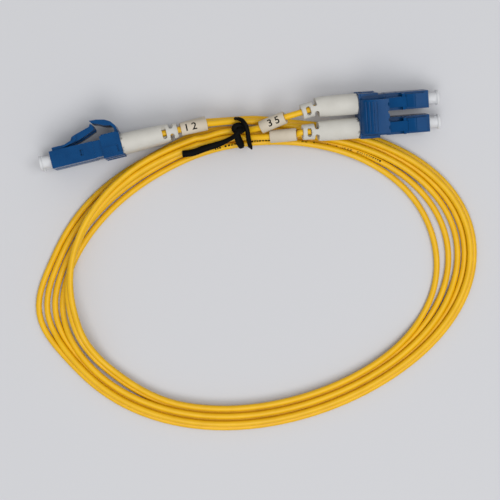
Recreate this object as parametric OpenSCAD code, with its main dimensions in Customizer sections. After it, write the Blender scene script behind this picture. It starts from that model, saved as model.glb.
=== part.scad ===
// Duplex fibre optic patch cord with two push-latch plugs at each end.
// Two round cords run from plug to plug, wound together into three loose turns and tied.
//
// Frame: +Z up from the surface that the cord lies on, +X from the left plugs to the right ones.
// Each plug is drawn in its own frame: the centre of its front face at the origin, +X the way
// it is pushed in, +Z towards its latch. A place at X = -d lies d behind the front face.

/* [Cord] */
// Outer diameter of one cord
cord_d = 1.6; // [1.2:0.1:1.8]
// Diameter of the buffered fibre inside a cord
buffer_d = 0.9; // [0.6:0.05:0.9]
// Side of a turn to the next turn of the same cord
turn_pitch = 2.02; // [2.01:0.01:2.2]

/* [Coil] */
// Half length of the outermost turn
coil_a = 57.2; // [56:0.2:60]
// Half width of the outermost turn
coil_b = 39.9; // [39:0.1:42]
// How far the bundle is lifted where the tie passes under it
tie_lift = 1.7; // [1.6:0.1:2]

/* [Plug body] */
// Side of the square front housing
body_w = 4.5; // [4.4:0.05:4.6]
// Length of the front housing
front_len = 11.4; // [11:0.1:12]
// Height of the rear housing's block
rear_w = 4.3; // [4.2:0.05:4.35]
// Distance from the front face to the rear end of the rear housing's block
rear_end = 18.0; // [17.8:0.1:18.3]
// Distance between the axes of the two plugs of a pair
pair_pitch = 6.25; // [6.2:0.01:6.3]

/* [Ferrule] */
// Outer diameter of the ceramic ferrule
ferrule_d = 1.25; // [1.24:0.001:1.26]
// How far the ferrule stands out of the front face
ferrule_out = 1.9; // [1.7:0.1:2.1]
// Length of the ferrule
ferrule_len = 6.5; // [6.2:0.1:6.8]
// How far the ferrule can be pushed back against its spring
ferrule_travel = 0.6; // [0.4:0.1:0.8]

/* [Latch and trigger] */
// Width of the latch's front block
latch_w = 3.5; // [3.2:0.1:3.6]
// Width of the latch's arm
arm_w = 2.6; // [2.2:0.1:2.9]
// Width over the latch's two locking ears
ear_w = 4.2; // [3.8:0.1:4.4]
// Width of the trigger that presses both latches
trigger_w = 8.7; // [8.4:0.1:9.2]
// Number of grip grooves across the trigger
groove_count = 4; // [3:1:5]

/* [Duplex clip] */
// Width of the clip over both plugs
clip_w = 11.6; // [11.4:0.1:12]
// Thickness of the clip's side walls
clip_wall = 0.475; // [0.4:0.025:0.5]
// Length of the clip along the plugs
clip_len = 5.1; // [4.8:0.1:5.4]
// Height of the clip above the plug's axis
clip_top = 2.95; // [2.85:0.05:3]
// Thickness of the raised panel on each side of the clip
panel_t = 0.2; // [0.1:0.05:0.3]

/* [Boot and crimp] */
// Diameter of the boot behind the clip
boot_d = 5.1; // [4.9:0.1:5.4]
// Diameter of the boot's slotted tip
boot_tip_d = 4.0; // [3.8:0.1:4.2]
// Length of the boot without its slotted tip
boot_body_len = 10.1; // [9.8:0.1:10.6]
// Length of the boot's slotted tip
boot_tip_len = 4.6; // [4.4:0.1:5]
// Width of the slots in the boot's tip
slot_w = 1.2; // [1:0.1:1.3]
// Length of the crimp sleeve
crimp_len = 3.4; // [3:0.1:3.8]
// Diameter of the crimp sleeve
crimp_d = 4.3; // [4.2:0.05:4.4]

/* [Dust cap and marker sleeve] */
// Diameter of the dust cap's sleeve
cap_d = 3.0; // [2.8:0.1:3.1]
// Diameter of the dust cap's grip flange
cap_flange_d = 3.9; // [3.7:0.1:4.1]
// Length of the marker sleeve
marker_len = 6.9; // [6.7:0.1:7.2]
// Diameter of the marker sleeve
marker_d = 3.3; // [3:0.1:3.4]

/* [Tie] */
// Diameter of the tie's cord
tie_d = 1.45; // [1.3:0.05:1.5]

/* [Clearances] */
// Radial clearance of a part that slides in a bore
slide_gap = 0.05; // [0.04:0.01:0.06]
// Gap between the plastic parts that snap together
snap_gap = 0.05; // [0.04:0.01:0.06]
// Gap between two cords that lie on each other
cord_gap = 0.05; // [0.03:0.01:0.1]

/* [Hidden] */
$fn = 48;
eps = 0.01;
PLUG = ["left_upper", "left_lower", "right_upper", "right_lower"];
END = ["left", "right"];
STRAND = ["strand_a", "strand_b"];
PIECES = ["front_housing", "latch", "ferrule", "ferrule_holder", "spring", "rear_housing",
          "crimp_sleeve", "buffered_fibre", "boot", "dust_cap", "marker_sleeve"];
NODES = concat([for (p = PLUG) for (q = PIECES) str(p, "_", q)],
               [for (e = END) for (q = ["clip", "trigger"]) str(e, "_", q)],
               [for (s = STRAND) for (q = ["left_leg", "coil", "right_leg"]) str(s, "_", q)],
               ["tie"]);
node = "all";

// Colours.
blue = [0.10, 0.33, 0.58];
boot_white = [0.87, 0.85, 0.81];
marker_white = [0.82, 0.79, 0.76];
cap_white = [0.92, 0.93, 0.94];
cord_yellow = [0.95, 0.73, 0.15];
tie_black = [0.08, 0.08, 0.10];
steel = [0.72, 0.73, 0.75];
ceramic = [0.95, 0.95, 0.93];

// Places behind the front face inside a plug.
bore_r = 1.6;
web_front = 5.0;
web_back = 5.6;
cavity_w = 3.3;
hinge_back = 3.9;
hinge_up = 2.75;
window_back = 8.2;
window_len = 0.8;
window_h = 1.5;
seat = 0.05;
collar_r = 0.95;
collar_front = 2.9;
flange_r = 1.25;
flange_len = 1.35;
tail_r = 0.8;
tail_end = front_len + 1.1;
nose_front = front_len - 1.2;
wire_d = 0.28;
spring_r = 1.08;
spring_turns = 5;
neck_r = 1.9;
neck_end = 20.5;
// The rear housings fill what the clip's side walls leave for them on each side.
rear_side = clip_w - pair_pitch - 2 * (clip_wall + snap_gap);
clip_front = rear_end + 0.6 - clip_len;
clip_back = rear_end + 0.6;
boot_front = clip_back;
tip_front = boot_front + boot_body_len;
boot_end = tip_front + boot_tip_len;
crimp_front = clip_back - 0.2;
crimp_end = crimp_front + crimp_len;
boot_bore_r = cord_d / 2 + 0.2;
boot_round_len = 6;
foot_up = 3.08;
foot_front = 0.9;
cap_front = 3.1;
cap_back = 3.4;

// Half of the left pair's width. It lies on its side, on the clip's panel.
lying_half = max(clip_w / 2 + panel_t, (pair_pitch + boot_d) / 2);
// Where the plug pairs lie: front face centre, then rotations about X, Y and Z.
datum = [4.28, -36.5, 0];
pair_at = [[-52.99, 28.31, lying_half], [44.3, 41.7, 4.0]];
pair_turn = [[90, 0, 193.65], [9, 8.5, 5.2]];
// How far each boot's tip is bent, about its plug's Y and Z.
tip_bend = [[0, 5], [5, -12], [0, 13], [0, 0]];

// ---- Turning points from a plug's frame into the part's frame ----
function rx(p, a) = [p[0], p[1] * cos(a) - p[2] * sin(a), p[1] * sin(a) + p[2] * cos(a)];
function ry(p, a) = [p[0] * cos(a) + p[2] * sin(a), p[1], -p[0] * sin(a) + p[2] * cos(a)];
function rz(p, a) = [p[0] * cos(a) - p[1] * sin(a), p[0] * sin(a) + p[1] * cos(a), p[2]];
function turned(p, r) = rz(ry(rx(p, r[0]), r[1]), r[2]);
function end_of(k) = k < 2 ? 0 : 1;
function side_of(k) = k % 2 == 0 ? pair_pitch / 2 : -pair_pitch / 2;
function bent(k, back) = [-tip_front, 0, 0] + rz(ry([-back, 0, 0], tip_bend[k][0]), tip_bend[k][1]);
function world(k, p) =
    datum + pair_at[end_of(k)] + turned(p + [0, side_of(k), 0], pair_turn[end_of(k)]);

module on_end(e) {
    translate(datum + pair_at[e]) rotate(pair_turn[e]) children();
}
module on_plug(k) {
    on_end(end_of(k)) translate([0, side_of(k), 0]) children();
}
// A cylinder along X between two places behind the front face.
module rod(front, back, r, r2 = -1) {
    translate([-back, 0, 0]) rotate([0, 90, 0])
        cylinder(h = back - front, r1 = r2 < 0 ? r : r2, r2 = r);
}
module block(front, back, w, h) {
    translate([-back, -w / 2, -h / 2]) cube([back - front, w, h]);
}
// A profile in (distance behind the front face, height) swept across the width.
module profile(points, w) {
    translate([0, w / 2, 0]) rotate([90, 0, 0]) linear_extrude(w)
        polygon([for (p = points) [-p[0], p[1]]]);
}
module pin_y(back, up, r, w) {
    translate([-back, w / 2, up]) rotate([90, 0, 0]) cylinder(h = w, r = r);
}

// ---- Tubes swept along points ----
function unit(v) = v / norm(v);
function heading(pts, i) = unit(
    (i < len(pts) - 1 ? unit(pts[i + 1] - pts[i]) : [0, 0, 0]) +
    (i > 0 ? unit(pts[i] - pts[i - 1]) : [0, 0, 0]));
function ring(pts, i, r, n, up) =
    let (t = heading(pts, i), s = unit(cross(up, t)), v = cross(t, s))
    [for (j = [0:n - 1]) let (a = 360 * (j + 0.5) / n) pts[i] + r * (cos(a) * s + sin(a) * v)];
module tube(pts, r, n, up = [0, 0, 1]) {
    m = len(pts);
    verts = [for (i = [0:m - 1]) each ring(pts, i, r, n, up)];
    sides = [for (i = [0:m - 2]) for (j = [0:n - 1]) let (a = i * n + j, b = i * n + (j + 1) % n)
        each [[a, a + n, b], [b, a + n, b + n]]];
    front = [for (j = [1:n - 2]) [0, j, j + 1]];
    back = [for (j = [1:n - 2]) let (o = (m - 1) * n) [o, o + j + 1, o + j]];
    polyhedron(points = verts, faces = concat(sides, front, back));
}
// A smooth line through a route's points, with a number of steps between each pair.
function smooth(p, steps) = [
    for (i = [0:len(p) - 2]) let (
        a = p[max(i - 1, 0)], b = p[i], c = p[i + 1], d = p[min(i + 2, len(p) - 1)])
        for (s = [0:steps - 1]) let (t = s / steps)
            0.5 * (2 * b + (c - a) * t + (2 * a - 5 * b + 4 * c - d) * t * t
                   + (3 * b - a - 3 * c + d) * t * t * t),
    p[len(p) - 1]];

// ---- The coil: both cords wound side by side, one turn inside the next ----
coil_tilt = 10;
coil_centre = [0, -1.3];
coil_wave = 0.7;
start_angle = 72;
turn_steps = 24;
coil_steps = 70;
right_spread = 5.5;
left_spread = 3.5;
crown_spread = 2.2;
crown_angle = 97;
inner_spread = 3.9;
inner_angle = 138;
tie_angle = 86;
// On the left of the last turn both cords step inwards, climb and cross over the other turns.
step_from = -838;
step_in = 1.2;
climb_from = -864;
cross_from = -888;
cross_to = -965;
cross_shift = [6.1, 3.1];
cross_rise = 3.5;
floor_z = cord_d / 2;
touch = cord_d + cord_gap;
function swell(t, middle, power) = pow(max(0, cos(t - middle)), power);
// From 0 to 1, slow at both ends, as the angle falls from one value to the other.
function ease(t, from, to) =
    let (u = min(1, max(0, (t - from) / (to - from)))) u * u * (3 - 2 * u);
// Sideways place of a cord, measured inwards from the outermost turn.
function lane(t, off) =
    let (base = turn_pitch * (start_angle - t) / 360 + off,
         deep = min(1.3, max(0, (base - 0.5) / 5.05)))
    base + right_spread * swell(t, 6, 4) * pow(deep, 2.6)
         - left_spread * swell(t, 180, 26) * pow(max(0, 1.1 - deep), 1.6)
         - crown_spread * swell(t, crown_angle, 60) * max(0, 1 - deep)
         + inner_spread * swell(t, inner_angle, 4) * pow(deep, 1.5) * (t < step_from ? 0.5 : 1);
function place(t, s) =
    lane(t, s == 1 ? 0 : turn_pitch / 2) + step_in * ease(t, step_from, climb_from)
    - (cross_shift[s] + step_in) * ease(t, cross_from, cross_to);
function lift(t) =
    tie_lift * swell(t, tie_angle, 30) + cross_rise * ease(t, climb_from, cross_from);
// Cord b lies on the surface. Cord a lies in the groove between two turns of cord b.
function coil_height(t, s) = floor_z + lift(t) + (s == 1 ? 0 :
    let (near = t < step_from ? place(t, 0) - place(t, 1)
         : min(place(t, 0) - lane(t, 0), lane(t, turn_pitch) - place(t, 0)))
    sqrt(max(0, touch * touch - near * near)));
function coil_point(t, s) =
    let (x = coil_a * cos(t), y = coil_b * sin(t),
         n = unit([coil_b * cos(t), coil_a * sin(t)]),
         d = place(t, s) - coil_wave * cos(3 * t),
         q = [x - n[0] * d, y - n[1] * d, coil_height(t, s)])
    datum + rz(q, coil_tilt) + [coil_centre[0], coil_centre[1], 0];
function coil_points(s) = [for (i = [0:coil_steps])
    coil_point(start_angle - 360 * i / turn_steps, s)];

// ---- The legs between the coil and the plugs ----
// Each marker sleeve's middle, and the way that its leg runs there (turn, rise).
marker_at = [[-16.4, 37.1, 8.3], [-16.65, 37.75, 4.35], [4.1, 38.25, 8.3], [6.8, 34.9, 7.3]];
marker_dir = [[12.5, -6], [15, 4], [22, 14], [4.5, 7]];
function marker_end(k, s) =
    datum + marker_at[k] + s * (marker_len / 2 + 0.2)
    * [cos(marker_dir[k][0]) * cos(marker_dir[k][1]), sin(marker_dir[k][0]) * cos(marker_dir[k][1]),
       sin(marker_dir[k][1])];
function inside_boot(k) = [
    for (back = [crimp_end, crimp_end + 1.3 * cord_d, tip_front - 0.3]) world(k, [-back, 0, 0]),
    for (back = [1.2, boot_tip_len + 0.2]) world(k, bent(k, back))];
left_route = [[[-7, 38.6, 5.9], [-1.5, 38.7, 4.5], [3, 38.4, 3.5]],
              [[-7, 39.2, 3.4], [-1.5, 39.6, 2.5], [3, 39.4, 1.9]]];
right_route = [[[-13.5, 34.7, 4.9], [-10, 35.7, 5.4], [-6.5, 36.2, 5.6], [-3, 36.25, 5.9]],
               [[-13.5, 33.0, 4.8], [-10, 34.0, 5.2], [-6.5, 34.5, 5.4], [-2, 34.5, 5.8]]];
function left_leg(s) =
    let (c = coil_points(s), t = unit(c[1] - c[0]), b = inside_boot(s))
    concat([b[0]],
           smooth([b[1], b[2], b[3], b[4], marker_end(s, -1)], 2),
           smooth(concat([marker_end(s, 1)], [for (q = left_route[s]) datum + q],
                         [c[0] - 1.3 * cord_d * t]), 2),
           [c[0]]);
function right_leg(s) =
    let (c = coil_points(s), m = len(c) - 1, t = unit(c[m] - c[m - 1]), k = 2 + s,
         b = inside_boot(k))
    concat([c[m]],
           smooth(concat([c[m] + 1.3 * cord_d * t], [for (q = right_route[s]) datum + q],
                         [marker_end(k, -1)]), 2),
           smooth([marker_end(k, 1), b[4], b[3], b[2], b[1]], 2),
           [b[0]]);

// ---- Plug pieces ----
module front_housing() {
    color(blue) difference() {
        union() {
            block(0, front_len, body_w, body_w);
            profile([[foot_front, body_w / 2 - eps], [foot_front, foot_up], [hinge_back - 0.1, foot_up],
                     [hinge_back + 0.35, body_w / 2 - eps]], latch_w);
        }
        rod(-eps, web_front, bore_r);
        rod(web_front - eps, web_back + eps, collar_r + slide_gap);
        block(web_back, front_len + eps, cavity_w, cavity_w);
        block(window_back - window_len / 2, window_back + window_len / 2, body_w + 1, window_h);
        pin_y(hinge_back, hinge_up, knuckle_r + snap_gap, latch_w + 1);
    }
}
knuckle_r = 0.35;
latch_profile = [[3.9, 2.4], [5.0, 2.7], [8.4, 3.45], [10.5, 4.2], [12.0, 4.8], [12.5, 5.0],
                 [12.65, 5.4], [12.3, 6.45], [11.9, 6.85], [11.5, 6.1], [7.6, 5.0],
                 [6.45, 4.55], [6.05, 3.75], [4.3, 3.1], [3.9, 3.1]];
block_profile = [[3.9, 2.4], [5.0, 2.7], [6.9, 3.15], [6.9, 3.85], [6.05, 3.7], [4.3, 3.1],
                 [3.9, 3.1]];
ear_profile = [[6.8, 3.25], [7.6, 3.5], [7.6, 4.9], [6.8, 4.6]];
module latch() {
    color(blue) {
        pin_y(hinge_back, hinge_up, knuckle_r, latch_w);
        profile(latch_profile, arm_w);
        profile(block_profile, latch_w);
        profile(ear_profile, ear_w);
    }
}
module ferrule() {
    color(ceramic) rod(-ferrule_out, ferrule_len - ferrule_out, ferrule_d / 2);
}
module ferrule_holder() {
    ferrule_back = ferrule_len - ferrule_out;
    flange_front = web_back + seat;
    color(steel) difference() {
        union() {
            rod(collar_front, flange_front + eps, collar_r);
            rod(flange_front, flange_front + flange_len, flange_r);
            rod(flange_front + flange_len - eps, tail_end, tail_r);
        }
        rod(collar_front - eps, ferrule_back, ferrule_d / 2);
        rod(ferrule_back - eps, tail_end + eps, buffer_d / 2 + slide_gap);
    }
}
module spring() {
    front = web_back + seat + flange_len + 0.05;
    back = nose_front - 0.05;
    steps = 8 * spring_turns;
    pts = [for (i = [0:steps]) let (a = 360 * spring_turns * i / steps)
        [-front - wire_d / 2 - (back - front - wire_d) * i / steps,
         spring_r * cos(a), spring_r * sin(a)]];
    color(steel) tube(pts, wire_d / 2, 6, [1, 0, 0]);
}
module rear_housing() {
    arm_t = 0.22;
    arm_out = cavity_w / 2 - snap_gap;
    tab_out = 2.1;
    color(blue) difference() {
        union() {
            block(nose_front, front_len + eps, cavity_w - 2 * snap_gap, cavity_w - 2 * snap_gap);
            block(front_len + eps, rear_end, rear_side, rear_w);
            rod(rear_end - eps, neck_end, neck_r);
            for (s = [-1, 1]) {
                translate([0, s * (arm_out - arm_t / 2), 0])
                    block(window_back - 0.4, nose_front + eps, arm_t, window_h - 0.2);
                translate([0, s * (tab_out + arm_out - arm_t) / 2, 0])
                    block(window_back,
                          window_back + window_len / 2 - snap_gap,
                          tab_out - arm_out + arm_t, window_h - 2 * snap_gap);
            }
        }
        rod(nose_front - eps, neck_end + eps, tail_r + 0.2);
    }
}
module crimp_sleeve() {
    color(steel) difference() {
        rod(crimp_front, crimp_end, crimp_d / 2);
        rod(crimp_front - eps, neck_end, neck_r);
        rod(neck_end - eps, crimp_end + eps, buffer_d / 2 + slide_gap);
    }
}
module buffered_fibre() {
    color("ivory") rod(ferrule_len - ferrule_out + ferrule_travel + 0.2, crimp_end, buffer_d / 2);
}
module boot(k) {
    near = 0.5;
    far = 2.4;
    web_w = 1.3;
    far_w = 3.0;
    color(boot_white) difference() {
        union() {
            rod(boot_front, boot_front + boot_round_len, boot_d / 2);
            rod(boot_front + boot_round_len - eps, tip_front, boot_d / 2, boot_tip_d / 2);
            translate([-tip_front, 0, 0]) rotate([0, tip_bend[k][0], tip_bend[k][1]])
                rod(-0.5, boot_tip_len, boot_tip_d / 2);
        }
        rod(boot_front - eps, crimp_end + 0.1, crimp_d / 2 + snap_gap);
        rod(crimp_end, tip_front, boot_bore_r);
        translate([-tip_front, 0, 0]) rotate([0, tip_bend[k][0], tip_bend[k][1]]) {
            rod(-0.6, boot_tip_len + eps, boot_bore_r);
            for (s = [-1, 1]) {
                translate([-near - slot_w / 2, s * (boot_tip_d / 2 + web_w / 2), 0])
                    cube([slot_w, boot_tip_d, boot_tip_d + 1], center = true);
                translate([-far - slot_w / 2, 0, s * (boot_tip_d / 2 + web_w / 2)])
                    cube([slot_w, far_w, boot_tip_d], center = true);
            }
        }
    }
}
module dust_cap() {
    color(cap_white) difference() {
        union() {
            rod(-cap_front, cap_back - 0.6, cap_d / 2);
            rod(-cap_front, -cap_front + 0.7, cap_flange_d / 2);
        }
        rod(-ferrule_out - 0.2, cap_back, ferrule_d / 2 + slide_gap);
    }
}
module marker_sleeve(k) {
    translate(datum + marker_at[k]) rotate([0, -marker_dir[k][1], marker_dir[k][0]])
        color(marker_white) difference() {
            rod(-marker_len / 2, marker_len / 2, marker_d / 2);
            rod(-marker_len / 2 - eps, marker_len / 2 + eps, cord_d / 2 + 0.1);
        }
}

// ---- Duplex clip and trigger ----
trigger_pin_back = 18.0;
trigger_pin_up = 3.35;
trigger_pin_r = 0.45;
trigger_web = 0.4;
trigger_step = 0.25;
trigger_top = [[11.8, 7.6], [13.75, 7.45], [15.7, 7.0], [17.1, 6.2], [18.05, 5.0]];
trigger_under = [[12.3, 6.85], [13.8, 6.3], [15.4, 5.5], [17.0, 5.2], [17.6, 4.2]];
trigger_profile = concat([[trigger_pin_back - trigger_web, trigger_pin_up],
                          [trigger_pin_back + trigger_web, trigger_pin_up],
                          [trigger_pin_back + trigger_web, trigger_pin_up + trigger_step]],
                         [for (i = [4:-1:0]) trigger_top[i]], trigger_under);
groove_front = 15.0;
groove_step = 0.8;
module clip() {
    slit_w = 3.0;
    clip_bottom = 2.9;
    rim_w = 0.7;
    rim_h = 0.3;
    slot_back = clip_back - 1.25;
    channel_w = rear_side + 2 * snap_gap;
    channel_h = rear_w + 2 * snap_gap;
    color(blue) difference() {
        union() {
            translate([-clip_back, -clip_w / 2, -clip_bottom])
                cube([clip_len, clip_w, clip_bottom + clip_top]);
            translate([-clip_back, -clip_w / 2 - panel_t, -clip_bottom])
                cube([clip_len, clip_w + 2 * panel_t, 0.9]);
            translate([-slot_back, -clip_w / 2 - panel_t, -clip_bottom])
                cube([clip_len - 1.6, clip_w + 2 * panel_t, clip_bottom - 0.15]);
            translate([-clip_back, -trigger_w / 2, clip_top - eps])
                cube([1.2, trigger_w, trigger_pin_up - clip_top]);
            for (s = [-1, 1])
                translate([-clip_back + 0.5, s * (clip_w - rim_w) / 2 - rim_w / 2, clip_top - eps])
                    cube([clip_len - 1, rim_w, rim_h]);
        }
        for (s = [-1, 1]) translate([0, s * pair_pitch / 2, 0]) {
            block(clip_front - eps, rear_end + snap_gap, channel_w, channel_h);
            rod(rear_end - snap_gap, rear_end + snap_gap, neck_r + snap_gap);
            rod(rear_end, clip_back + eps, crimp_d / 2 + snap_gap);
            translate([-clip_back - eps, -slit_w / 2, -clip_bottom - eps])
                cube([clip_len + 2 * eps, slit_w, clip_bottom - rear_w / 2 + 0.1]);
        }
        for (s = [-1, 1]) translate([-slot_back - 0.2, s * clip_w / 2, -1])
            cube([0.4, 0.6, 1.7], center = true);
        pin_y(trigger_pin_back, trigger_pin_up, trigger_pin_r + snap_gap, trigger_w + 1);
    }
}
module trigger() {
    color(blue) {
        pin_y(trigger_pin_back, trigger_pin_up, trigger_pin_r, trigger_w);
        difference() {
            profile(trigger_profile, trigger_w);
            for (i = [0:groove_count - 1]) let (back = groove_front + groove_step * i)
                translate([-back, 0, lookup(back, trigger_top)])
                    cube([0.35, trigger_w - 1, 0.4], center = true);
            for (i = [-1.5:1.5]) translate([-trigger_top[0][0], 2 * i, trigger_top[0][1]])
                cube([0.6, 0.8, 2], center = true);
        }
    }
}

// ---- Tie ----
// One length of cord: its tail, the loop of its knot, and one wrap round the bundle.
tie_tail = [[-19.4, 30.2, 5.9], [-15, 31.2, 6.3], [-11, 32.4, 6.9], [-7.5, 33.6, 7.5]];
knot_at = [-4.6, 36.0];
knot_r = 1.5;
knot_from = 295;
knot_to = 745;
knot_low = 7.8;
knot_rise = 2.1;
tie_wrap = [[-3.7, 38.8, 8.7], [-4.6, 40.7, 6.6], [-4.8, 41.4, 4.6], [-4.6, 41.0, 2.4],
            [-4.2, 39.4, 0.95], [-3.6, 37, 0.75], [-2.9, 33.8, 0.75], [-2.1, 31.9, 1.5],
            [-1.6, 31.1, 3.2], [-1.5, 31.4, 5.6], [-1.5, 32.8, 7.2], [-1.5, 34.8, 7.7],
            [-1.7, 36.8, 8.3]];
function knot(i) =
    let (a = knot_from + (knot_to - knot_from) * i / 10)
    [knot_at[0] + knot_r * cos(a), knot_at[1] + knot_r * sin(a), knot_low + knot_rise * i / 10];
module tie() {
    route = concat(tie_tail, [for (i = [0:10]) knot(i)], tie_wrap);
    color(tie_black) tube([for (q = smooth(route, 2)) datum + q], tie_d / 2, 8, [1, 0, 1]);
}

// ---- Cords ----
module leg(pts) { color(cord_yellow) tube(pts, cord_d / 2, 8); }
module coil(s) { color(cord_yellow) tube(coil_points(s), cord_d / 2, 6); }

// The least gap between a cord's own turns, measured between points that are half a turn
// or more apart along it.
function self_gap(p) = min([for (i = [0:len(p) - 1]) for (j = [i + turn_steps / 2:len(p) - 1])
    norm(p[i] - p[j])]) - cord_d;
function run(p) = [for (i = [1:len(p) - 1]) norm(p[i] - p[i - 1])];
function total(v, i = 0) = i < len(v) ? v[i] + total(v, i + 1) : 0;
for (s = [0, 1])
    echo(str(STRAND[s], " least gap ", self_gap(coil_points(s)), " mm, coil length ",
             total(run(coil_points(s))), " mm, legs ", total(run(left_leg(s))), " and ",
             total(run(right_leg(s))), " mm"));

function wanted(name) = node == "all" || node == name;
for (k = [0:3]) {
    if (wanted(str(PLUG[k], "_front_housing"))) on_plug(k) front_housing();
    if (wanted(str(PLUG[k], "_latch"))) on_plug(k) latch();
    if (wanted(str(PLUG[k], "_ferrule"))) on_plug(k) ferrule();
    if (wanted(str(PLUG[k], "_ferrule_holder"))) on_plug(k) ferrule_holder();
    if (wanted(str(PLUG[k], "_spring"))) on_plug(k) spring();
    if (wanted(str(PLUG[k], "_rear_housing"))) on_plug(k) rear_housing();
    if (wanted(str(PLUG[k], "_crimp_sleeve"))) on_plug(k) crimp_sleeve();
    if (wanted(str(PLUG[k], "_buffered_fibre"))) on_plug(k) buffered_fibre();
    if (wanted(str(PLUG[k], "_boot"))) on_plug(k) boot(k);
    if (wanted(str(PLUG[k], "_dust_cap"))) on_plug(k) dust_cap();
    if (wanted(str(PLUG[k], "_marker_sleeve"))) marker_sleeve(k);
}
for (e = [0, 1]) {
    if (wanted(str(END[e], "_clip"))) on_end(e) clip();
    if (wanted(str(END[e], "_trigger"))) on_end(e) trigger();
}
for (s = [0, 1]) {
    if (wanted(str(STRAND[s], "_left_leg"))) leg(left_leg(s));
    if (wanted(str(STRAND[s], "_coil"))) coil(s);
    if (wanted(str(STRAND[s], "_right_leg"))) leg(right_leg(s));
}
if (wanted("tie")) tie();
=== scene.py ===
"""A duplex fibre optic patch cord: two thin yellow cords wound together into three turns,
tied with a black cord, with a blue twin plug, white boots and dust caps at each end."""

import math
import random

import bmesh
import bpy
from mathutils import Euler, Matrix, Vector


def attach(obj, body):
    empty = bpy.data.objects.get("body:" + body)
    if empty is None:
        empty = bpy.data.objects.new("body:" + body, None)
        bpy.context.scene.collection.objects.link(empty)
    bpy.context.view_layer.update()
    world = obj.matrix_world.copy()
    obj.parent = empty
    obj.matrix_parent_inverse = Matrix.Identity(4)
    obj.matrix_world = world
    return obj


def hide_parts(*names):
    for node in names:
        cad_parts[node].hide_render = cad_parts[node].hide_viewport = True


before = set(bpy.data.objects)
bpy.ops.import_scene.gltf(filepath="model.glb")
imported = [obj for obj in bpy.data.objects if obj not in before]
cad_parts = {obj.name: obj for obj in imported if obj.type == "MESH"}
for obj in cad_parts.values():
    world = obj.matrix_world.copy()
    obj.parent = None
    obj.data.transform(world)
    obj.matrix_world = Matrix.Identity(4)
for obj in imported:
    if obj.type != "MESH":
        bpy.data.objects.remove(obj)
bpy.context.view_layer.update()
ROOT = "cord_assembly"

# ---- Sizes and places, in millimetres and degrees, as in the CAD source ----
MM = 0.001
DATUM = Vector((4.28, -36.5, 0.0))  # the CAD drawing's own origin, in the frame
CORD_D = 1.6
CORD_GAP = 0.05  # between a cord and the one that it lies on
STRAIGHT = 1.3 * CORD_D  # how far a cord runs straight before it meets its next part
TURN_PITCH = 2.02
COIL_A, COIL_B = 57.2, 39.9  # half the length and half the width of the outermost turn
COIL_TILT = 10.0
COIL_CENTRE = Vector((0.0, -1.3, 0.0))
COIL_WAVE = 0.7
START_ANGLE = 72.0
COIL_SWEEP = 1050.0
# How deep in the bundle a turn lies, from 0 at the outside, and the most that it counts for.
DEEP_FROM, DEEP_OVER, DEEP_MOST = 0.5, 5.05, 1.3
# Where the turns spread: by how much, about which angle, and the power that narrows the place.
RIGHT_SPREAD, RIGHT_ANGLE, RIGHT_POWER = 5.5, 6, 4
LEFT_SPREAD, LEFT_ANGLE, LEFT_POWER = 3.5, 180, 26
CROWN_SPREAD, CROWN_ANGLE, CROWN_POWER = 2.2, 97.0, 60
INNER_SPREAD, INNER_ANGLE, INNER_POWER = 3.9, 138.0, 4
# The last turn steps in, climbs on the others and crosses them.
STEP_FROM, STEP_IN = -838.0, 1.2
CLIMB_FROM, CROSS_FROM, CROSS_TO = -864.0, -888.0, -965.0
CROSS_SHIFT, CROSS_RISE = (6.1, 3.1), 3.5
TIE_ANGLE, TIE_POWER, TIE_LIFT = 86.0, 30, 1.7
PAIR_PITCH = 6.25
# Along a plug, measured back from its front face.
CLIP_BACK = 18.6
CRIMP_END = 21.8
TIP_FRONT = 28.7
TIP_LEN = 4.6
CAP_FRONT = 3.1  # how far a dust cap stands out in front of the front face
MARKER_LEN, MARKER_D, MARKER_GAP = 6.9, 3.3, 0.2
PAIR_AT = (Vector((-52.99, 28.31, 6.0)), Vector((44.3, 41.7, 4.0)))
PAIR_TURN = ((90, 0, 193.65), (9, 8.5, 5.2))
PLUGS = ("left_upper", "left_lower", "right_upper", "right_lower")
TIP_BEND = ((0, 5), (5, -12), (0, 13), (0, 0))
MARKER_AT = ((-16.4, 37.1, 8.3), (-16.65, 37.75, 4.35), (4.1, 38.25, 8.3), (6.8, 34.9, 7.3))
MARKER_DIR = ((12.5, -6), (15, 4), (22, 14), (4.5, 7))
LEFT_ROUTE = (
    ((-7, 38.6, 5.9), (-1.5, 38.7, 4.5), (3, 38.4, 3.5)),
    ((-7, 39.2, 3.4), (-1.5, 39.6, 2.5), (3, 39.4, 1.9)),
)
RIGHT_ROUTE = (
    ((-13.5, 34.7, 4.9), (-10, 35.7, 5.4), (-6.5, 36.2, 5.6), (-3, 36.25, 5.9)),
    ((-13.5, 33.0, 4.8), (-10, 34.0, 5.2), (-6.5, 34.5, 5.4), (-2, 34.5, 5.8)),
)
COIL_STEP = 3.0  # degrees between two points of the coil
LEG_STEPS = 6  # points from one place of a leg's route to the next
TURNED_SIDES = 48  # sides of a turned piece


def sin(degrees):
    return math.sin(math.radians(degrees))


def cos(degrees):
    return math.cos(math.radians(degrees))


def pair_matrix(end):
    """The frame of a pair of plugs: 0 is the left pair, 1 the right pair."""
    turn = Euler([math.radians(a) for a in PAIR_TURN[end]], "XYZ").to_matrix().to_4x4()
    return Matrix.Translation(DATUM + PAIR_AT[end]) @ turn


def plug_matrix(k):
    """The frame of plug k of PLUGS: its origin in the middle of the front face."""
    side = PAIR_PITCH / 2 if k % 2 == 0 else -PAIR_PITCH / 2
    return pair_matrix(k // 2) @ Matrix.Translation((0, side, 0))


def tip_matrix(k):
    """The frame of a boot's bent tip: its origin where the tip starts."""
    bend = Euler((0, math.radians(TIP_BEND[k][0]), math.radians(TIP_BEND[k][1])), "XYZ")
    return Matrix.Translation((-TIP_FRONT, 0, 0)) @ bend.to_matrix().to_4x4()


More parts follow.
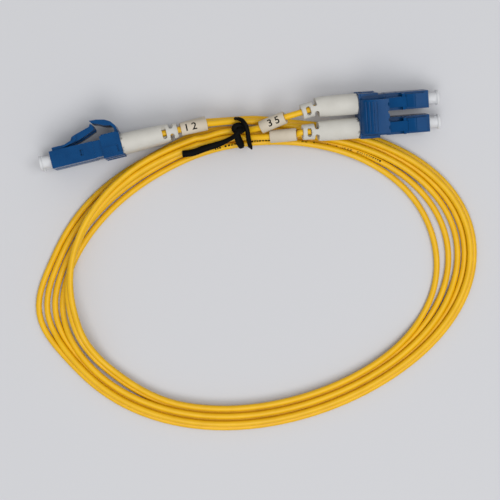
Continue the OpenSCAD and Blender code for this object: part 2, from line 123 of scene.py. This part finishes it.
# ---- Camera: straight down, at the height that gives the photograph's slight perspective ----
PHOTO_SIDE = 500  # pixels
PIXELS_PER_MM = 3.8  # on the table
DATUM_PIXEL = (257, 270)  # where the CAD drawing's origin lies in the photograph
CAMERA_HEIGHT = 0.45  # metres


def make_camera():
    seen = PHOTO_SIDE / PIXELS_PER_MM * MM
    data = bpy.data.cameras.new("camera")
    data.sensor_fit = "HORIZONTAL"
    data.angle = 2 * math.atan(seen / 2 / CAMERA_HEIGHT)
    camera = bpy.data.objects.new("camera", data)
    bpy.context.scene.collection.objects.link(camera)
    middle = DATUM + Vector(((PHOTO_SIDE / 2 - DATUM_PIXEL[0]) / PIXELS_PER_MM,
                             (DATUM_PIXEL[1] - PHOTO_SIDE / 2) / PIXELS_PER_MM, 0))
    camera.location = (middle.x * MM, middle.y * MM, CAMERA_HEIGHT)
    bpy.context.scene.camera = camera


make_camera()


# ---- Materials ----
def new_material(name, colour, rough, metallic=0.0):
    m = bpy.data.materials.new(name)
    m.use_nodes = True
    tree = m.node_tree
    shader = tree.nodes["Principled BSDF"]
    shader.inputs["Base Color"].default_value = (*colour, 1)
    shader.inputs["Roughness"].default_value = rough
    shader.inputs["Metallic"].default_value = metallic
    return m, tree, shader


def noise(tree, scale, detail=3.0, stretch=(1, 1, 1)):
    where = tree.nodes.new("ShaderNodeTexCoord")
    mapping = tree.nodes.new("ShaderNodeMapping")
    mapping.inputs["Scale"].default_value = stretch
    tex = tree.nodes.new("ShaderNodeTexNoise")
    tex.inputs["Scale"].default_value = scale
    tex.inputs["Detail"].default_value = detail
    tree.links.new(where.outputs["Object"], mapping.inputs["Vector"])
    tree.links.new(mapping.outputs["Vector"], tex.inputs["Vector"])
    return tex


def ramp(tree, source, low, high):
    """A colour between low and high, over the middle of the source's range."""
    node = tree.nodes.new("ShaderNodeValToRGB")
    node.color_ramp.elements[0].position = 0.3
    node.color_ramp.elements[1].position = 0.7
    node.color_ramp.elements[0].color = (*low, 1)
    node.color_ramp.elements[1].color = (*high, 1)
    tree.links.new(source, node.inputs["Fac"])
    return node.outputs["Color"]


def spread(tree, source, low, high):
    """The source's range of 0 to 1, mapped to low to high."""
    node = tree.nodes.new("ShaderNodeMapRange")
    node.inputs["To Min"].default_value = low
    node.inputs["To Max"].default_value = high
    tree.links.new(source, node.inputs["Value"])
    return node.outputs["Result"]


def bump(tree, shader, source, depth):
    node = tree.nodes.new("ShaderNodeBump")
    node.inputs["Strength"].default_value = 1.0
    node.inputs["Distance"].default_value = depth
    tree.links.new(source, node.inputs["Height"])
    tree.links.new(node.outputs["Normal"], shader.inputs["Normal"])


def moulded(name, low, high, rough, grain, depth, gloss=0.5):
    """Moulded plastic: a slow change of colour, fine grain in the gloss and in the surface.

    low and high are its darkest and lightest colour, grain is the scale of the fine noise and
    depth that of its bumps, in metres.
    """
    m, tree, shader = new_material(name, high, rough)
    shader.inputs["Specular IOR Level"].default_value = gloss
    slow = noise(tree, 260.0)
    fine = noise(tree, grain, 6.0)
    tree.links.new(ramp(tree, slow.outputs["Fac"], low, high), shader.inputs["Base Color"])
    tree.links.new(
        spread(tree, fine.outputs["Fac"], rough - 0.07, rough + 0.09), shader.inputs["Roughness"]
    )
    bump(tree, shader, fine.outputs["Fac"], depth)
    return m


BLUE = moulded("blue_plastic", (0.0004, 0.043, 0.145), (0.001, 0.054, 0.175),
               rough=0.26, grain=5200.0, depth=1.0e-5, gloss=0.13)
BOOT = moulded("white_boot", (0.53, 0.515, 0.47), (0.58, 0.565, 0.52),
               rough=0.60, grain=3600.0, depth=1.5e-5, gloss=0.3)
MARKER = moulded("marker_plastic", (0.53, 0.465, 0.365), (0.59, 0.52, 0.42),
                 rough=0.62, grain=2600.0, depth=2e-5, gloss=0.2)
JACKET = moulded("yellow_jacket", (0.76, 0.42, 0.002), (0.82, 0.47, 0.005),
                 rough=0.42, grain=1500.0, depth=1.0e-5, gloss=0.35)
TIE = moulded("black_tie", (0.002, 0.002, 0.002), (0.005, 0.005, 0.005),
              rough=0.60, grain=2400.0, depth=3e-5, gloss=0.06)
INK = moulded("ink", (0.002, 0.002, 0.002), (0.008, 0.007, 0.006),
              rough=0.7, grain=4000.0, depth=2e-6, gloss=0.05)
CERAMIC = moulded("ceramic", (0.80, 0.80, 0.77), (0.88, 0.88, 0.85),
                  rough=0.18, grain=6000.0, depth=1e-6)
BUFFER = moulded("buffer", (0.74, 0.73, 0.66), (0.82, 0.81, 0.74),
                 rough=0.45, grain=3000.0, depth=3e-6)


def make_steel():
    """Plain steel, drawn lengthwise."""
    m, tree, shader = new_material("steel", (0.58, 0.58, 0.57), 0.32, 1.0)
    lines = noise(tree, 900.0, 4.0, (1, 9, 9))
    tree.links.new(
        spread(tree, lines.outputs["Fac"], 0.22, 0.45), shader.inputs["Roughness"]
    )
    bump(tree, shader, lines.outputs["Fac"], 4e-6)
    return m


def make_cap_material():
    """Milky plastic that lets a little light through."""
    m, tree, shader = new_material("clear_cap", (0.75, 0.76, 0.78), 0.6)
    shader.inputs["Transmission Weight"].default_value = 0.2
    shader.inputs["IOR"].default_value = 1.45
    cloud = noise(tree, 700.0)
    tree.links.new(
        ramp(tree, cloud.outputs["Fac"], (0.73, 0.74, 0.76), (0.79, 0.80, 0.82)),
        shader.inputs["Base Color"],
    )
    tree.links.new(spread(tree, cloud.outputs["Fac"], 0.6, 0.75), shader.inputs["Roughness"])
    return m


STEEL = make_steel()
CAP = make_cap_material()


# ---- Small tools ----
def add_object(name, data, body, material):
    o = bpy.data.objects.new(name, data)
    bpy.context.scene.collection.objects.link(o)
    data.materials.append(material)
    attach(o, body)
    return o


def smooth_line(places, steps):
    """A Catmull-Rom line through the places, with a number of steps between each two."""
    out = []
    for i in range(len(places) - 1):
        a, b, c = places[max(i - 1, 0)], places[i], places[i + 1]
        d = places[min(i + 2, len(places) - 1)]
        for s in range(steps):
            t = s / steps
            out.append(
                0.5 * (2 * b + (c - a) * t + (2 * a - 5 * b + 4 * c - d) * t * t
                       + (3 * b - a - 3 * c + d) * t ** 3)
            )
    out.append(places[-1])
    return out


def line_length(points):
    return sum((b - a).length for a, b in zip(points, points[1:]))


def round_curve(name, radius):
    """A new curve, drawn as a round tube. The radius is in millimetres."""
    data = bpy.data.curves.new(name, "CURVE")
    data.dimensions = "3D"
    data.bevel_depth = radius * MM
    data.bevel_resolution = 5
    data.use_fill_caps = True
    return data


def add_spline(data, points, widths=None, closed=False):
    """A line through points in millimetres. Each width is a factor on the curve's radius."""
    spline = data.splines.new("POLY")
    spline.points.add(len(points) - 1)
    for i, p in enumerate(points):
        spline.points[i].co = (*(p * MM), 1)
        spline.points[i].radius = widths[i] if widths else 1.0
    spline.use_cyclic_u = closed
    spline.use_smooth = True


def mesh_object(name, bm, body, material, smooth=True):
    data = bpy.data.meshes.new(name)
    bmesh.ops.recalc_face_normals(bm, faces=bm.faces)
    for f in bm.faces:
        f.smooth = smooth
    bm.to_mesh(data)
    bm.free()
    return add_object(name, data, body, material)


def revolve(name, profile, matrix, body, material):
    """A closed profile of (place behind the front face, radius) turned round the X axis."""
    bm = bmesh.new()
    rings = []
    for s in range(TURNED_SIDES):
        a = 2 * math.pi * s / TURNED_SIDES
        ring = [
            bm.verts.new(matrix @ Vector((-back, r * math.cos(a), r * math.sin(a))) * MM)
            for back, r in profile
        ]
        rings.append(ring)
    n = len(profile)
    for s in range(TURNED_SIDES):
        one, two = rings[s], rings[(s + 1) % TURNED_SIDES]
        for i in range(n):
            bm.faces.new((one[i], one[(i + 1) % n], two[(i + 1) % n], two[i]))
    return mesh_object(name, bm, body, material)


# ---- Cords: first the line of each, by the same formulas as in the CAD source ----
def swell(t, middle, power):
    """1 at the middle, falling off to 0 a quarter turn away, faster with a higher power."""
    return max(0.0, cos(t - middle)) ** power


def ease(t, start, end):
    """0 before the start, 1 past the end, and smooth between them."""
    u = min(1.0, max(0.0, (t - start) / (end - start)))
    return u * u * (3 - 2 * u)


def lane(t, off):
    """How far inside the coil's outline a turn lies at angle t."""
    base = TURN_PITCH * (START_ANGLE - t) / 360 + off
    deep = min(DEEP_MOST, max(0.0, (base - DEEP_FROM) / DEEP_OVER))
    right = RIGHT_SPREAD * swell(t, RIGHT_ANGLE, RIGHT_POWER) * deep ** 2.6
    left = LEFT_SPREAD * swell(t, LEFT_ANGLE, LEFT_POWER) * max(0.0, 1.1 - deep) ** 1.6
    crown = CROWN_SPREAD * swell(t, CROWN_ANGLE, CROWN_POWER) * max(0.0, 1 - deep)
    inner = INNER_SPREAD * swell(t, INNER_ANGLE, INNER_POWER) * deep ** 1.5
    return base + right - left - crown + inner * (0.5 if t < STEP_FROM else 1)


def place(t, s):
    """The lane of strand s, with its step in and its crossing at the end of the coil."""
    return (lane(t, 0 if s == 1 else TURN_PITCH / 2) + STEP_IN * ease(t, STEP_FROM, CLIMB_FROM)
            - (CROSS_SHIFT[s] + STEP_IN) * ease(t, CROSS_FROM, CROSS_TO))


def coil_height(t, s):
    """The height of a strand's middle. Strand 0 rests on strand 1 where the two come close."""
    low = (CORD_D / 2 + TIE_LIFT * swell(t, TIE_ANGLE, TIE_POWER)
           + CROSS_RISE * ease(t, CLIMB_FROM, CROSS_FROM))
    if s == 1:
        return low
    if t < STEP_FROM:
        near = place(t, 0) - place(t, 1)
    else:
        near = min(place(t, 0) - lane(t, 0), lane(t, TURN_PITCH) - place(t, 0))
    return low + math.sqrt(max(0.0, (CORD_D + CORD_GAP) ** 2 - near ** 2))


def coil_normal(t):
    return Vector((COIL_B * cos(t), COIL_A * sin(t), 0)).normalized()


def coil_point(t, s):
    x, y = COIL_A * cos(t), COIL_B * sin(t)
    n = coil_normal(t)
    d = place(t, s) - COIL_WAVE * cos(3 * t)
    q = Vector((x - n.x * d, y - n.y * d, coil_height(t, s)))
    return DATUM + Matrix.Rotation(math.radians(COIL_TILT), 3, "Z") @ q + COIL_CENTRE


def marker_axis(k):
    turn, rise = MARKER_DIR[k]
    return Vector((cos(turn) * cos(rise), sin(turn) * cos(rise), sin(rise)))


def marker_end(k, side):
    return DATUM + Vector(MARKER_AT[k]) + side * (MARKER_LEN / 2 + MARKER_GAP) * marker_axis(k)


def inside_boot(k):
    """Places on a cord's line from the crimp to the end of the boot's tip."""
    body, tip = plug_matrix(k), plug_matrix(k) @ tip_matrix(k)
    straight = [body @ Vector((-b, 0, 0))
                for b in (CRIMP_END, CRIMP_END + STRAIGHT, TIP_FRONT - 0.3)]
    return straight + [tip @ Vector((-b, 0, 0)) for b in (1.2, TIP_LEN + 0.2)]


def strand_line(s):
    """All points of a strand: its left leg, the coil and its right leg."""
    count = round(COIL_SWEEP / COIL_STEP)
    coil = [coil_point(START_ANGLE - COIL_STEP * i, s) for i in range(count + 1)]
    first = (coil[1] - coil[0]).normalized()
    last = (coil[-1] - coil[-2]).normalized()
    a, b = inside_boot(s), inside_boot(2 + s)
    left = [a[0]] + smooth_line(a[1:] + [marker_end(s, -1)], LEG_STEPS)
    left += smooth_line([marker_end(s, 1)] + [DATUM + Vector(q) for q in LEFT_ROUTE[s]]
                        + [coil[0] - STRAIGHT * first], LEG_STEPS)
    right = smooth_line([coil[-1] + STRAIGHT * last]
                        + [DATUM + Vector(q) for q in RIGHT_ROUTE[s]]
                        + [marker_end(2 + s, -1)], LEG_STEPS)
    right += smooth_line([marker_end(2 + s, 1)] + b[:0:-1], LEG_STEPS) + [b[0]]
    return left + coil + right


STRAND_LINES = [strand_line(s) for s in (0, 1)]


MARKER_WALL, MARKER_EDGE = 0.32, 0.12
MARKER_SLIM = (0, 0.12, 0, 0)  # how much slimmer than in the CAD source a sleeve is drawn
FIGURE_SIZE, FIGURE_SPACING, FIGURE_BOLD = 2.7, 1.5, 0.05
FIGURE_STRIP, FIGURE_STRIPS = 0.1, 12  # figures are cut in strips, so that they can bend
INK_LIFT = 0.015  # how far ink stands off the surface below it
PRINT_HALF = 16.0  # half width of the cord's print, in degrees round the cord
DASH_TURN, DASH_GAP = (0.35, 0.75), (0.18, 0.42)  # least and most, in degrees along the coil
PRINT_SEED = 7


def make_marker(k):
    """A sleeve round the cord: a short tube with softened ends."""
    r, half, wall, soft = MARKER_D / 2 - MARKER_SLIM[k], MARKER_LEN / 2, MARKER_WALL, MARKER_EDGE
    turn = marker_axis(k).to_track_quat("X", "Z").to_matrix().to_4x4()
    matrix = Matrix.Translation(DATUM + Vector(MARKER_AT[k])) @ turn
    profile = [(-half, r - wall), (-half, r - soft), (-half + soft * 0.35, r - soft * 0.3),
               (-half + soft, r), (0, r * 1.004), (half - soft, r),
               (half - soft * 0.35, r - soft * 0.3), (half, r - soft), (half, r - wall)]
    o = revolve(PLUGS[k] + "_marker", profile, matrix, ROOT, MARKER)
    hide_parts(PLUGS[k] + "_marker_sleeve")
    return o, matrix


def make_number(k, text, matrix, along):
    """Plain figures printed on top of a marker sleeve, bent round it and moved along it."""
    curve = bpy.data.curves.new("figures", "FONT")
    curve.body = text
    curve.size = FIGURE_SIZE
    curve.align_x = "CENTER"
    curve.align_y = "CENTER"
    curve.space_character = FIGURE_SPACING
    curve.offset = FIGURE_BOLD
    helper = bpy.data.objects.new("figures", curve)
    bpy.context.scene.collection.objects.link(helper)
    bpy.context.view_layer.update()
    flat = helper.evaluated_get(bpy.context.evaluated_depsgraph_get()).to_mesh()
    bm = bmesh.new()
    bm.from_mesh(flat)
    bpy.data.objects.remove(helper)
    for i in range(-FIGURE_STRIPS, FIGURE_STRIPS + 1):
        bmesh.ops.bisect_plane(bm, geom=bm.verts[:] + bm.edges[:] + bm.faces[:],
                               plane_co=(0, FIGURE_STRIP * i, 0), plane_no=(0, 1, 0))
    bmesh.ops.triangulate(bm, faces=bm.faces)
    r = MARKER_D / 2 + INK_LIFT
    up = matrix.to_3x3().inverted() @ Vector((0, 0, 1))
    middle = math.atan2(up.z, up.y)
    for v in bm.verts:
        a = middle - v.co.y / r
        v.co = matrix @ Vector((v.co.x + along, r * math.cos(a), r * math.sin(a))) * MM
    return mesh_object(PLUGS[k] + "_number", bm, ROOT, INK, smooth=False)


def make_print(s, groups):
    """Short plain dashes along the upper side of a turn, in groups like a cord's print."""
    dice = random.Random(PRINT_SEED)
    bm = bmesh.new()
    turn = Matrix.Rotation(math.radians(COIL_TILT), 3, "Z")
    for first, last, lean_first, lean_last in groups:
        t = first
        while t > last:
            size = dice.uniform(*DASH_TURN)
            ring = []
            for part in range(3):
                at = t - size * part / 2
                out = turn @ coil_normal(at)
                lean = lean_first + (lean_last - lean_first) * (at - first) / (last - first)
                for side in (-PRINT_HALF, PRINT_HALF):
                    a = math.radians(lean + side)
                    off = math.cos(a) * Vector((0, 0, 1)) + math.sin(a) * out
                    spot = coil_point(at, s) + off * (CORD_D / 2 + INK_LIFT)
                    ring.append(bm.verts.new(spot * MM))
            bm.faces.new((ring[0], ring[2], ring[3], ring[1]))
            bm.faces.new((ring[2], ring[4], ring[5], ring[3]))
            t -= size + dice.uniform(*DASH_GAP)
    return mesh_object(f"cord_print_{'ab'[s]}", bm, ROOT, INK, smooth=False)


MARKERS = [make_marker(k) for k in range(4)]
NUMBERS = [make_number(0, "12", MARKERS[0][1], -0.95), make_number(2, "35", MARKERS[2][1], 0.5)]
# Where the groups of dashes start and end along the coil, and how far they lean outwards there.
PRINTS = [
    make_print(0, ((-621.5, -632.5, -16, 24), (-634.8, -641.5, 20, 34), (-649.2, -650.4, 37, 37),
                   (-652.6, -653.3, 46, 46))),
    make_print(1, ((-655.2, -659.8, -26, -24), (-661.5, -664.5, -20, -16),
                   (-666.3, -675, -16, 0))),
]


def make_strand(s):
    """One cord from plug to plug, which stands for its two legs and its coil."""
    name = ("strand_a", "strand_b")[s]
    line = STRAND_LINES[s]
    data = round_curve(name, CORD_D / 2)
    data.twist_mode = "MINIMUM"
    add_spline(data, line)
    o = add_object(name, data, ROOT, JACKET)
    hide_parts(*[f"{name}_{part}" for part in ("left_leg", "coil", "right_leg")])
    line_length(line) * MM


for s in (0, 1):
    make_strand(s)


# ---- Boots ----
BOOT_STATIONS = (
    # place behind the front face, half width, half height
    (CLIP_BACK, 2.58, 2.45), (CLIP_BACK + 0.12, 2.70, 2.56), (CLIP_BACK + 0.8, 2.74, 2.58),
    (21.5, 2.74, 2.56), (24.0, 2.72, 2.48), (26.5, 2.68, 2.40), (TIP_FRONT - 0.2, 2.60, 2.34),
    (TIP_FRONT + 0.5, 2.46, 2.30), (TIP_FRONT + 1.7, 2.06, 2.20), (TIP_FRONT + 2.6, 2.0, 2.02),
    (TIP_FRONT + 3.8, 1.98, 1.92), (TIP_FRONT + TIP_LEN - 0.1, 1.95, 1.88),
    (TIP_FRONT + TIP_LEN, 1.86, 1.8),
)
BOOT_SIDES = 48
BOOT_BORE = CORD_D / 2 + 0.2
BOOT_EDGE, BOOT_EDGE_ANGLE = 0.10, 40
SLOT = 1.15  # width of the slots in a boot's tip
NEAR_SLOT, FAR_SLOT = 0.5, 2.45  # where the slots start behind the tip's start
WEB = 1.3  # what is left between two notches
WINDOW_FROM = 0.4  # from the tip's middle to where a window's cut starts
THROUGH = 4.0  # beyond the tip's outside
# Of the left and the right pair: the axis along which the photograph looks at the windows, half
# the windows' length, where the notches start and where the windows start.
BOOT_CUTS = ((1, 1.62, FAR_SLOT, NEAR_SLOT), (2, 1.2, NEAR_SLOT, FAR_SLOT))


def make_slot(m, front, across, deep, axis):
    """A cutter with round ends, one slot wide. It starts at front and runs across and deep."""
    r = SLOT / 2
    middle = -front - r
    outline = [(middle + r * cos(a), across[1] - r + r * sin(a)) for a in range(0, 181, 15)]
    outline += [(middle + r * cos(a), across[0] + r + r * sin(a)) for a in range(180, 361, 15)]
    bm = bmesh.new()
    ends = []
    for level in sorted(deep):
        places = [Vector((x, u, level) if axis == 2 else (x, level, u)) for x, u in outline]
        ends.append([bm.verts.new(m @ q * MM) for q in places])
    for j in range(len(outline)):
        j2 = (j + 1) % len(outline)
        bm.faces.new((ends[0][j], ends[0][j2], ends[1][j2], ends[1][j]))
    bm.faces.new(ends[0][::-1])
    bm.faces.new(ends[1])
    bmesh.ops.recalc_face_normals(bm, faces=bm.faces)
    return bm


def cut_mesh(o, cutters):
    """Takes the cutters' volume away from the object's mesh."""
    helpers = []
    for bm in cutters:
        data = bpy.data.meshes.new("cutter")
        bm.to_mesh(data)
        bm.free()
        helper = bpy.data.objects.new("cutter", data)
        bpy.context.scene.collection.objects.link(helper)
        helpers.append(helper)
        cut = o.modifiers.new("cut", "BOOLEAN")
        cut.object = helper
        cut.solver = "MANIFOLD"
    bpy.context.view_layer.update()
    done = bpy.data.meshes.new_from_object(
        o.evaluated_get(bpy.context.evaluated_depsgraph_get()))
    o.modifiers.clear()
    o.data = done
    for helper in helpers:
        bpy.data.objects.remove(helper)


def soften(o, edge, angle):
    """Rounds every edge that is sharper than the angle."""
    soft = o.modifiers.new("edges", "BEVEL")
    soft.width = edge * MM
    soft.segments = 3
    soft.limit_method = "ANGLE"
    soft.angle_limit = math.radians(angle)
    soft.use_clamp_overlap = True
    shade = o.modifiers.new("shading", "WEIGHTED_NORMAL")
    shade.mode = "FACE_AREA_WITH_ANGLE"
    shade.weight = 80


def make_boot(k):
    """A soft boot with a bore and two pairs of slots in its tip."""
    body, tip = plug_matrix(k), plug_matrix(k) @ tip_matrix(k)
    bm = bmesh.new()
    rings = []
    bore = [(back, BOOT_BORE, BOOT_BORE) for back, _, _ in BOOT_STATIONS[::-1]]
    for back, wide, high in (*BOOT_STATIONS, *bore):
        m, x = (body, -back) if back <= TIP_FRONT else (tip, TIP_FRONT - back)
        rings.append([
            bm.verts.new(m @ Vector((x, wide * cos(a), high * sin(a))) * MM)
            for a in (360 * j / BOOT_SIDES for j in range(BOOT_SIDES))
        ])
    for i in range(len(rings)):
        one, two = rings[i], rings[(i + 1) % len(rings)]
        for j in range(BOOT_SIDES):
            j2 = (j + 1) % BOOT_SIDES
            bm.faces.new((one[j], two[j], two[j2], one[j2]))
    o = mesh_object(PLUGS[k] + "_strain_boot", bm, ROOT, BOOT)
    axis, half, notch, window = BOOT_CUTS[k // 2]
    cutters = []
    for s in (-1, 1):
        cutters.append(make_slot(tip, notch, sorted((s * WEB / 2, s * THROUGH)),
                                 (-THROUGH, THROUGH), axis))
        cutters.append(make_slot(tip, window, (-half, half),
                                 (s * WINDOW_FROM, s * THROUGH), axis))
    cut_mesh(o, cutters)
    soften(o, BOOT_EDGE, BOOT_EDGE_ANGLE)
    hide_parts(PLUGS[k] + "_boot")


for k in range(4):
    make_boot(k)


# ---- Dust caps ----
CAP_BORE, CAP_DEEP = 0.68, 2.1  # the bore's radius and how far it reaches past the front face
CAP_END = 2.8  # how far a cap reaches into the plug
AXIS = 0.0001  # a radius that closes an end
CAP_PROFILE = (
    # place behind the front face, radius
    (-CAP_FRONT, AXIS), (-CAP_FRONT, 1.70), (-CAP_FRONT + 0.06, 1.86), (-CAP_FRONT + 0.2, 1.95),
    (-CAP_FRONT + 0.5, 1.95), (-CAP_FRONT + 0.64, 1.86), (-CAP_FRONT + 0.72, 1.62),
    (-CAP_FRONT + 0.95, 1.52), (0.0, 1.47), (CAP_END - 0.2, 1.44), (CAP_END, 1.38),
    (CAP_END, CAP_BORE), (-CAP_DEEP, CAP_BORE), (-CAP_DEEP, AXIS),
)

for k, name in enumerate(PLUGS):
    cap = revolve(name + "_cap", CAP_PROFILE, plug_matrix(k), name + "_dust_cap", CAP)
    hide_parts(name + "_dust_cap")


# ---- Plug bodies: the CAD solids with their edges softened ----
BLOCK_EDGE, ARM_EDGE = 0.12, 0.08  # of housings and clips, of latches and triggers
SHELL_EDGE_ANGLE = 32
WELD = 2e-6  # metres
FLAT_ANGLE = 1.0  # faces that meet at less than this are one


def dress(node, body, edge):
    """A copy of a blue CAD solid with clean faces and rounded edges, which stands for it."""
    bm = bmesh.new()
    bm.from_mesh(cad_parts[node].data)
    bmesh.ops.remove_doubles(bm, verts=bm.verts, dist=WELD)
    bmesh.ops.dissolve_limit(bm, angle_limit=math.radians(FLAT_ANGLE), verts=bm.verts,
                             edges=bm.edges)
    o = mesh_object(node + "_shell", bm, body, BLUE)
    soften(o, edge, SHELL_EDGE_ANGLE)
    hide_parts(node)


for name in PLUGS:
    dress(name + "_front_housing", ROOT, BLOCK_EDGE)
    dress(name + "_latch", name + "_latch", ARM_EDGE)
for name in ("left", "right"):
    dress(name + "_clip", ROOT, BLOCK_EDGE)
    dress(name + "_trigger", name + "_trigger", ARM_EDGE)

# The pieces inside the plugs keep their CAD solids and get a material only.
PLAIN = {"ferrule": CERAMIC, "ferrule_holder": STEEL, "spring": STEEL, "rear_housing": BLUE,
         "crimp_sleeve": STEEL, "buffered_fibre": BUFFER}
for name in PLUGS:
    for piece, material in PLAIN.items():
        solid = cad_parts[f"{name}_{piece}"]
        solid.data.materials.clear()
        solid.data.materials.append(material)


# ---- Tie ----
TIE_R = 0.8
TIE_STEPS = 6  # points from one place of a route to the next
KNOT_STEP = 15  # degrees
TIE_TAIL = ((-19.33, 30.19, 6.2), (-16.64, 30.51, 6.5), (-13.65, 31.56, 6.9), (-10.66, 32.44, 7.4),
            (-8.67, 33.16, 7.9), (-6.88, 33.99, 8.9), (-5.79, 34.58, 9.8), (-4.94, 35.49, 10.0),
            (-4.22, 36.33, 9.2), (-4.02, 37.07, 8.0))
KNOT_AT, KNOT_WIDE, KNOT_HIGH = (-4.78, 36.66, 8.4), 1.04, 0.72
TIE_LOOP = ((-5.8, 39.2, 6.3), (-4.95, 39.25, 7.6), (-4.0, 38.75, 8.8), (-3.35, 38.0, 9.3),
            (-2.82, 37.1, 9.2), (-2.45, 35.7, 8.7), (-2.25, 34.14, 8.1), (-2.0, 32.9, 7.3),
            (-1.7, 32.1, 6.8), (-1.35, 31.4, 6.35))
TIE_UNDER = ((-2.05, 33.0, 6.9), (-1.95, 32.55, 5.4), (-1.95, 32.4, 3.6), (-2.1, 32.5, 1.9),
             (-2.6, 33.3, 0.85), (-3.4, 35.5, 0.75), (-4.2, 38.0, 0.75), (-4.8, 39.2, 1.4),
             (-5.4, 39.65, 3.2), (-5.75, 39.5, 5.0), (-5.8, 39.2, 6.3))
TIE_END = ((-5.2, 35.19, 8.6), (-4.93, 34.13, 8.2), (-4.5, 33.05, 7.4), (-4.02, 32.15, 6.4))


def make_tie():
    """A soft black cord: its long tail, the knot, one wrap round the bundle and a short end."""
    data = round_curve("tie_cord", TIE_R)
    knot = [(KNOT_AT[0] + KNOT_WIDE * cos(a), KNOT_AT[1] + KNOT_HIGH * sin(a), KNOT_AT[2])
            for a in range(0, 360, KNOT_STEP)]
    for route, widths, closed in (
        (TIE_TAIL, (1.12, 1.14, 1.12, 1.04, 0.85, 0.75, 0.78, 0.85, 0.9, 0.9), False),
        (knot, (1.07,) * len(knot), True),
        (TIE_LOOP, (0.25, 0.6, 0.72, 0.76, 0.76, 0.78, 0.8, 0.78, 0.68, 0.2), False),
        (TIE_UNDER, (0.4, 0.5, 0.5, 0.5, 0.7, 0.8, 0.8, 0.6, 0.45, 0.4, 0.25), False),
        (TIE_END, (1.0, 1.16, 1.22, 1.05), False),
    ):
        line = [DATUM + Vector(q) for q in route]
        if not closed:
            line = smooth_line(line, TIE_STEPS)
            steps = [divmod(i, TIE_STEPS) for i in range(len(line))]
            widths = [widths[j] + ((widths[j + 1] - widths[j]) * part / TIE_STEPS if part else 0.0)
                      for j, part in steps]
        add_spline(data, line, widths, closed)
    o = add_object("tie_cord", data, ROOT, TIE)
    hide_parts("tie")


make_tie()


# ---- Floor and light, in metres ----
FLOOR_HALF = 0.6
SKY_LOW, SKY_HIGH = 0.22, 0.70  # brightness at the horizon and overhead
LIT_POINT = (0, -0.03, 0)
LAMPS = (
    # name, place, diameter, watts
    ("key", (0.05, -0.85, 1.35), 0.9, 9.45),
    ("overhead", (0.42, -0.02, 1.30), 0.5, 4.3),
)


def make_floor():
    bm = bmesh.new()
    bmesh.ops.create_grid(bm, x_segments=1, y_segments=1, size=FLOOR_HALF)
    data = bpy.data.meshes.new("floor")
    bm.to_mesh(data)
    bm.free()
    floor = bpy.data.objects.new("floor", data)
    bpy.context.scene.collection.objects.link(floor)
    m, _, shader = new_material("floor", (0.60, 0.605, 0.63), 0.9)
    shader.inputs["Specular IOR Level"].default_value = 0.1
    data.materials.append(m)


def area_light(name, spot, size, power):
    data = bpy.data.lights.new(name, "AREA")
    data.shape = "DISK"
    data.size = size
    data.energy = power
    o = bpy.data.objects.new(name, data)
    bpy.context.scene.collection.objects.link(o)
    o.location = spot
    o.rotation_euler = (Vector(LIT_POINT) - Vector(spot)).to_track_quat("-Z", "Y").to_euler()


def make_light():
    """A plain pale sky, brighter overhead, and two large soft lamps."""
    world = bpy.data.worlds.new("world")
    world.use_nodes = True
    tree = world.node_tree
    where = tree.nodes.new("ShaderNodeTexCoord")
    split = tree.nodes.new("ShaderNodeSeparateXYZ")
    sky = tree.nodes.new("ShaderNodeMapRange")
    sky.inputs["To Min"].default_value = SKY_LOW
    sky.inputs["To Max"].default_value = SKY_HIGH
    tree.links.new(where.outputs["Generated"], split.inputs["Vector"])
    tree.links.new(split.outputs["Z"], sky.inputs["Value"])
    background = tree.nodes["Background"]
    background.inputs["Color"].default_value = (1.0, 1.0, 1.0, 1)
    tree.links.new(sky.outputs["Result"], background.inputs["Strength"])
    bpy.context.scene.world = world
    for lamp in LAMPS:
        area_light(*lamp)
    bpy.context.scene.view_settings.view_transform = "Standard"


make_floor()
make_light()
